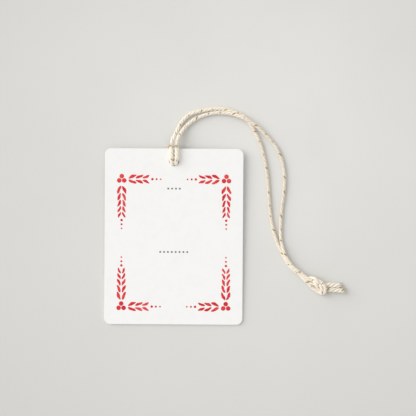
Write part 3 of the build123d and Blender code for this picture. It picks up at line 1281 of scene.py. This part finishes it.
@dataclass
class Printing:
    """Printed sprigs of brushed leaves that run from berries in the card's corners, and dotted rules."""

    card: Card
    plane: CardPlane
    tooth: PaperTooth
    lift: float = 0.00001
    film: float = 0.00003
    columns: int = 9
    # Where the sprigs stand, and how many pairs of leaves they have.
    from_side: float = 0.0085
    from_foot: float = 0.0090
    from_top: float = 0.0155
    corner_room: float = 0.0034
    pairs_across: int = 3
    pairs_up: int = 5
    # One leaf, and the next one after it.
    leaf_rows: int = 31
    leaf_length: float = 0.0044
    leaf_half_width: float = 0.00074
    leaf_angle: float = math.radians(24.0)
    leaf_root: float = 0.00042
    leaf_pitch: float = 0.0037
    leaf_dwindle: float = 0.07
    leaf_bend: float = 0.00012
    leaf_bend_rate: float = 6.0
    leaf_tip: float = 0.04
    leaf_bluntness: float = 0.6
    # Waves on a leaf's width, whose phase is a share of the leaf's own.
    leaf_waves: tuple[Wave, ...] = ((0.12, 8.0, 1.7), (0.06, 23.0, 1.0))
    # How much a leaf's number, its sprig's place across and its sprig's heading add to its phase.
    phase_by_number: float = 1.3
    phase_by_place: float = 90.0
    phase_by_heading: float = 70.0
    # The dots past the last leaf, and the berries in the corners.
    dot_radii: tuple[float, ...] = (0.00062, 0.0005, 0.0004)
    dot_pitch: float = 0.0021
    berry_radius: float = 0.00115
    berry_spread: float = 0.00145
    berry_angles: tuple[float, ...] = (math.pi / 2, math.pi * 7 / 6, math.pi * 11 / 6)
    # The rules' dots.
    mark_radius: float = 0.00048
    mark_pitch: float = 0.00195
    # Height on the card and number of dots of each rule.
    rules: tuple[tuple[float, int], ...] = ((0.0687, 4), (0.0367, 8))

    def lay_down(self, skin: Skin, grid: Array, places: Array) -> None:
        """Put a flat grid of the card's x and y on its front face."""
        level = np.full(grid.shape[:-1] + (1,), self.card.thickness + self.lift)
        skin.add_sheet(self.plane.on_table(np.concatenate([grid, level], axis=-1)), places)

    def between(self, right: Array, left: Array) -> tuple[Array, Array]:
        """A grid of straight rungs from one line to another.

        Args:
            right: Rows x 2, the line on the right of the way ahead.
            left: Rows x 2, the line on the left.

        Returns:
            Rows x columns x 2, and the pattern places: share of the way along, and -1 on the right
            to 1 on the left.
        """
        share = np.linspace(0.0, 1.0, self.columns)[None, :, None]
        grid = right[:, None] * (1.0 - share) + left[:, None] * share
        along = np.linspace(0.0, 1.0, len(right))
        aside = np.linspace(-1.0, 1.0, self.columns)
        return grid, np.stack(np.meshgrid(along, aside, indexing="ij"), axis=-1)

    def leaf(self, skin: Skin, start: Array, reach: Array, size: float, phase: float) -> None:
        """One brushed leaf: a line that bends a little and swells from both ends.

        The half width is a root of a sine along the leaf, with two slow waves on it, so the ends are
        blunt as a loaded brush leaves them.

        Args:
            skin: Where the faces go.
            start: The leaf's root on the card.
            reach: From its root to its tip.
            size: Share of a full leaf's width.
            phase: Where its waves start, so that no two leaves are the same.
        """
        t = np.linspace(0.0, 1.0, self.leaf_rows)[:, None]
        ahead = unit(reach)
        aside = np.array([-ahead[1], ahead[0]])
        line = start + reach * t + aside * self.leaf_bend * np.sin(self.leaf_bend_rate * t + phase)
        swell = 1.0 + sum(high * np.sin(rate * t + part * phase) for high, rate, part in self.leaf_waves)
        belly = self.leaf_tip + (1.0 - self.leaf_tip) * np.sin(math.pi * t) ** self.leaf_bluntness
        half = aside * self.leaf_half_width * size * swell * belly
        self.lay_down(skin, *self.between(line - half, line + half))

    def sprig(self, skin: Skin, root: Array, ahead: Array, pairs: int) -> None:
        """Pairs of leaves along a line from a corner, smaller by and by, and a few dots past the last.

        Args:
            skin: Where the faces go.
            root: The corner.
            ahead: Direction of the line.
            pairs: How many pairs of leaves.
        """
        aside = np.array([-ahead[1], ahead[0]])
        place = self.corner_room
        size = 1.0
        for number in range(pairs):
            for side in (-1.0, 1.0):
                start = root + ahead * place + aside * side * self.leaf_root
                way = ahead * math.cos(self.leaf_angle) + aside * side * math.sin(self.leaf_angle)
                phase = self.phase_by_number * number + side + self.phase_by_place * root[0]
                phase = phase + self.phase_by_heading * ahead[1]
                self.leaf(skin, start, way * self.leaf_length * size, size, phase)
            place += self.leaf_pitch * size
            size -= self.leaf_dwindle
        place += self.leaf_length * size / 2
        for radius in self.dot_radii:
            self.disc(skin, root + ahead * place, radius)
            place += self.dot_pitch

    def disc(self, skin: Skin, centre: Array, radius: float) -> None:
        """One round dot: a square grid drawn out to a circle, x = u sqrt(1 - v^2/2), y likewise.

        Args:
            skin: Where the faces go.
            centre: Of the dot on the card.
            radius: Of the dot.
        """
        side = np.linspace(-1.0, 1.0, self.columns)
        u, v = np.meshgrid(side, side, indexing="ij")
        grid = np.stack([u * np.sqrt(1.0 - v * v / 2), v * np.sqrt(1.0 - u * u / 2)], axis=-1)
        rim = np.linalg.norm(grid, axis=-1)
        self.lay_down(skin, centre + grid * radius, np.stack([u, rim], axis=-1))

    def berries(self, skin: Skin, middle: Array) -> None:
        """Three berries that nearly touch, about a corner.

        Args:
            skin: Where the faces go.
            middle: The corner.
        """
        for angle in self.berry_angles:
            away = self.berry_spread * np.array([math.cos(angle), math.sin(angle)])
            self.disc(skin, middle + away, self.berry_radius)

    def sprig_marks(self) -> Skin:
        """Berries in the four corners, and two sprigs from each along the card's sides.

        Returns:
            The faces of the marks.
        """
        skin = Skin()
        side = self.card.width / 2 - self.from_side
        for up, height in ((1.0, self.from_foot), (-1.0, self.card.height - self.from_top)):
            for inwards in (1.0, -1.0):
                corner = np.array([-inwards * side, height])
                self.berries(skin, corner)
                self.sprig(skin, corner, np.array([inwards, 0.0]), self.pairs_across)
                self.sprig(skin, corner, np.array([0.0, up]), self.pairs_up)
        return skin

    def rule_marks(self) -> Skin:
        """Dots of the two writing rules, evenly spaced about the card's middle line.

        Returns:
            The faces of the dots.
        """
        skin = Skin()
        for height, count in self.rules:
            for number in range(count):
                across = (number - (count - 1) / 2) * self.mark_pitch
                self.disc(skin, np.array([across, height]), self.mark_radius)
        return skin

    def build(self) -> None:
        """Make the two printed films, thicken them and put them on the card."""
        for name, skin, ink in (
            ("printed_sprigs", self.sprig_marks(), Ink.RED),
            ("printed_rules", self.rule_marks(), Ink.GREY),
        ):
            piece = skin.to_object(name, ink.value.material(self.tooth))
            thicken = piece.modifiers.new("film", "SOLIDIFY")
            thicken.thickness = self.film
            thicken.offset = 1.0
            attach(piece, "card")


@dataclass
class Studio:
    """A pale floor, soft light from the upper left and a camera straight above."""

    floor_side: float = 3.0
    floor_colour: Colour = (0.805, 0.797, 0.768, 1.0)
    floor_cloud: Colour = (0.765, 0.757, 0.728, 1.0)
    # painted light: the tone far from a pool of light painted on the floor, then the pool's middle and
    # reach
    floor_painted_dim: Colour = (0.655, 0.648, 0.620, 1.0)
    painted_light_middle: Point = (0.031, 0.044, 0.0)
    painted_light_reach: float = 0.17
    floor_roughness: float = 0.9
    cloud_scale: float = 16.0
    cloud_detail: float = 5.0
    cloud_span: Span = (0.35, 0.65)
    camera_height: float = 0.8
    view_width: float = 0.2101
    view_level: float = 0.002
    view_centre: tuple[float, float] = (0.0172, 0.01455)
    view_roll: float = math.radians(0.35)
    key_towards: Point = (0.78, -0.36, -0.55)
    key_spread: float = math.radians(54.0)
    key_strength: float = 1.95
    sky_colour: Colour = (1.0, 1.0, 1.0, 1.0)
    sky_strength: float = 0.67

    def build(self) -> None:
        """Make the floor, the camera and the lights."""
        scene = bpy.context.scene
        scene.view_settings.view_transform = "Standard"
        self.add_floor(scene)
        self.add_camera(scene)
        self.add_light(scene)

    def floor_material(self) -> bpy.types.Material:
        """Faintly clouded, with a painted pool of light that dims with the distance from its middle.

        Returns:
            The floor's material.
        """
        shading = Shading("table_top")
        here = shading.node("ShaderNodeTexCoord").outputs["Object"]
        cloud = shading.ramp(shading.noise(here, self.cloud_scale, self.cloud_detail), self.cloud_span)
        # painted light: a pool of light painted on the floor, dimmer with the distance from its middle
        ends = {0: here, 1: self.painted_light_middle}
        away = shading.node("ShaderNodeVectorMath", ends, operation="DISTANCE").outputs["Value"]
        painted_dimming = shading.ramp(away, (0.0, self.painted_light_reach))
        tone = shading.mix(cloud, self.floor_colour, self.floor_cloud)
        tone = shading.mix(painted_dimming, tone, self.floor_painted_dim)
        return shading.finish(Base_Color=tone, Roughness=self.floor_roughness)

    def add_floor(self, scene: bpy.types.Scene) -> None:
        """A square table top at z = 0.

        Args:
            scene: Where it goes.
        """
        half = self.floor_side / 2
        mesh = bpy.data.meshes.new("table")
        corners = [(-half, -half, 0.0), (half, -half, 0.0), (half, half, 0.0), (-half, half, 0.0)]
        mesh.from_pydata(corners, [], [(0, 1, 2, 3)])
        mesh.materials.append(self.floor_material())
        table = bpy.data.objects.new("table", mesh)
        scene.collection.objects.link(table)

    def add_camera(self, scene: bpy.types.Scene) -> None:
        """Look straight down at the middle of the picture, with the picture's width at the card's level.

        Args:
            scene: Where the camera goes.
        """
        lens = bpy.data.cameras.new("camera")
        lens.sensor_fit = "HORIZONTAL"
        lens.lens = lens.sensor_width * (self.camera_height - self.view_level) / self.view_width
        camera = bpy.data.objects.new("camera", lens)
        camera.location = (*self.view_centre, self.camera_height)
        camera.rotation_euler = (0.0, 0.0, self.view_roll)
        scene.collection.objects.link(camera)
        scene.camera = camera

    def add_light(self, scene: bpy.types.Scene) -> None:
        """A broad, far lamp low on the upper left, and an even sky.

        Args:
            scene: Where the lamp and the sky go.
        """
        lamp = bpy.data.lights.new("window", "SUN")
        lamp.angle = self.key_spread
        lamp.energy = self.key_strength
        window = bpy.data.objects.new("window", lamp)
        window.rotation_euler = Vector(self.key_towards).to_track_quat("-Z", "Y").to_euler()
        scene.collection.objects.link(window)
        world = bpy.data.worlds.new("sky")
        world.use_nodes = True
        background = world.node_tree.nodes["Background"]
        background.inputs["Color"].default_value = self.sky_colour
        background.inputs["Strength"].default_value = self.sky_strength
        scene.world = world


def main() -> None:
    """Build the tag's looks piece by piece, then the studio."""
    logging.basicConfig(level=logging.INFO, format="%(name)s: %(message)s")
    card = Card()
    plane = CardPlane.from_frame(card)
    tooth = PaperTooth()
    card.dress(PaperFinish(), tooth)
    Twine(TwineRoute(plane), TwineFinish()).build()
    Printing(card, plane, tooth).build()
    Studio().build()


if __name__ == "__main__":
    main()
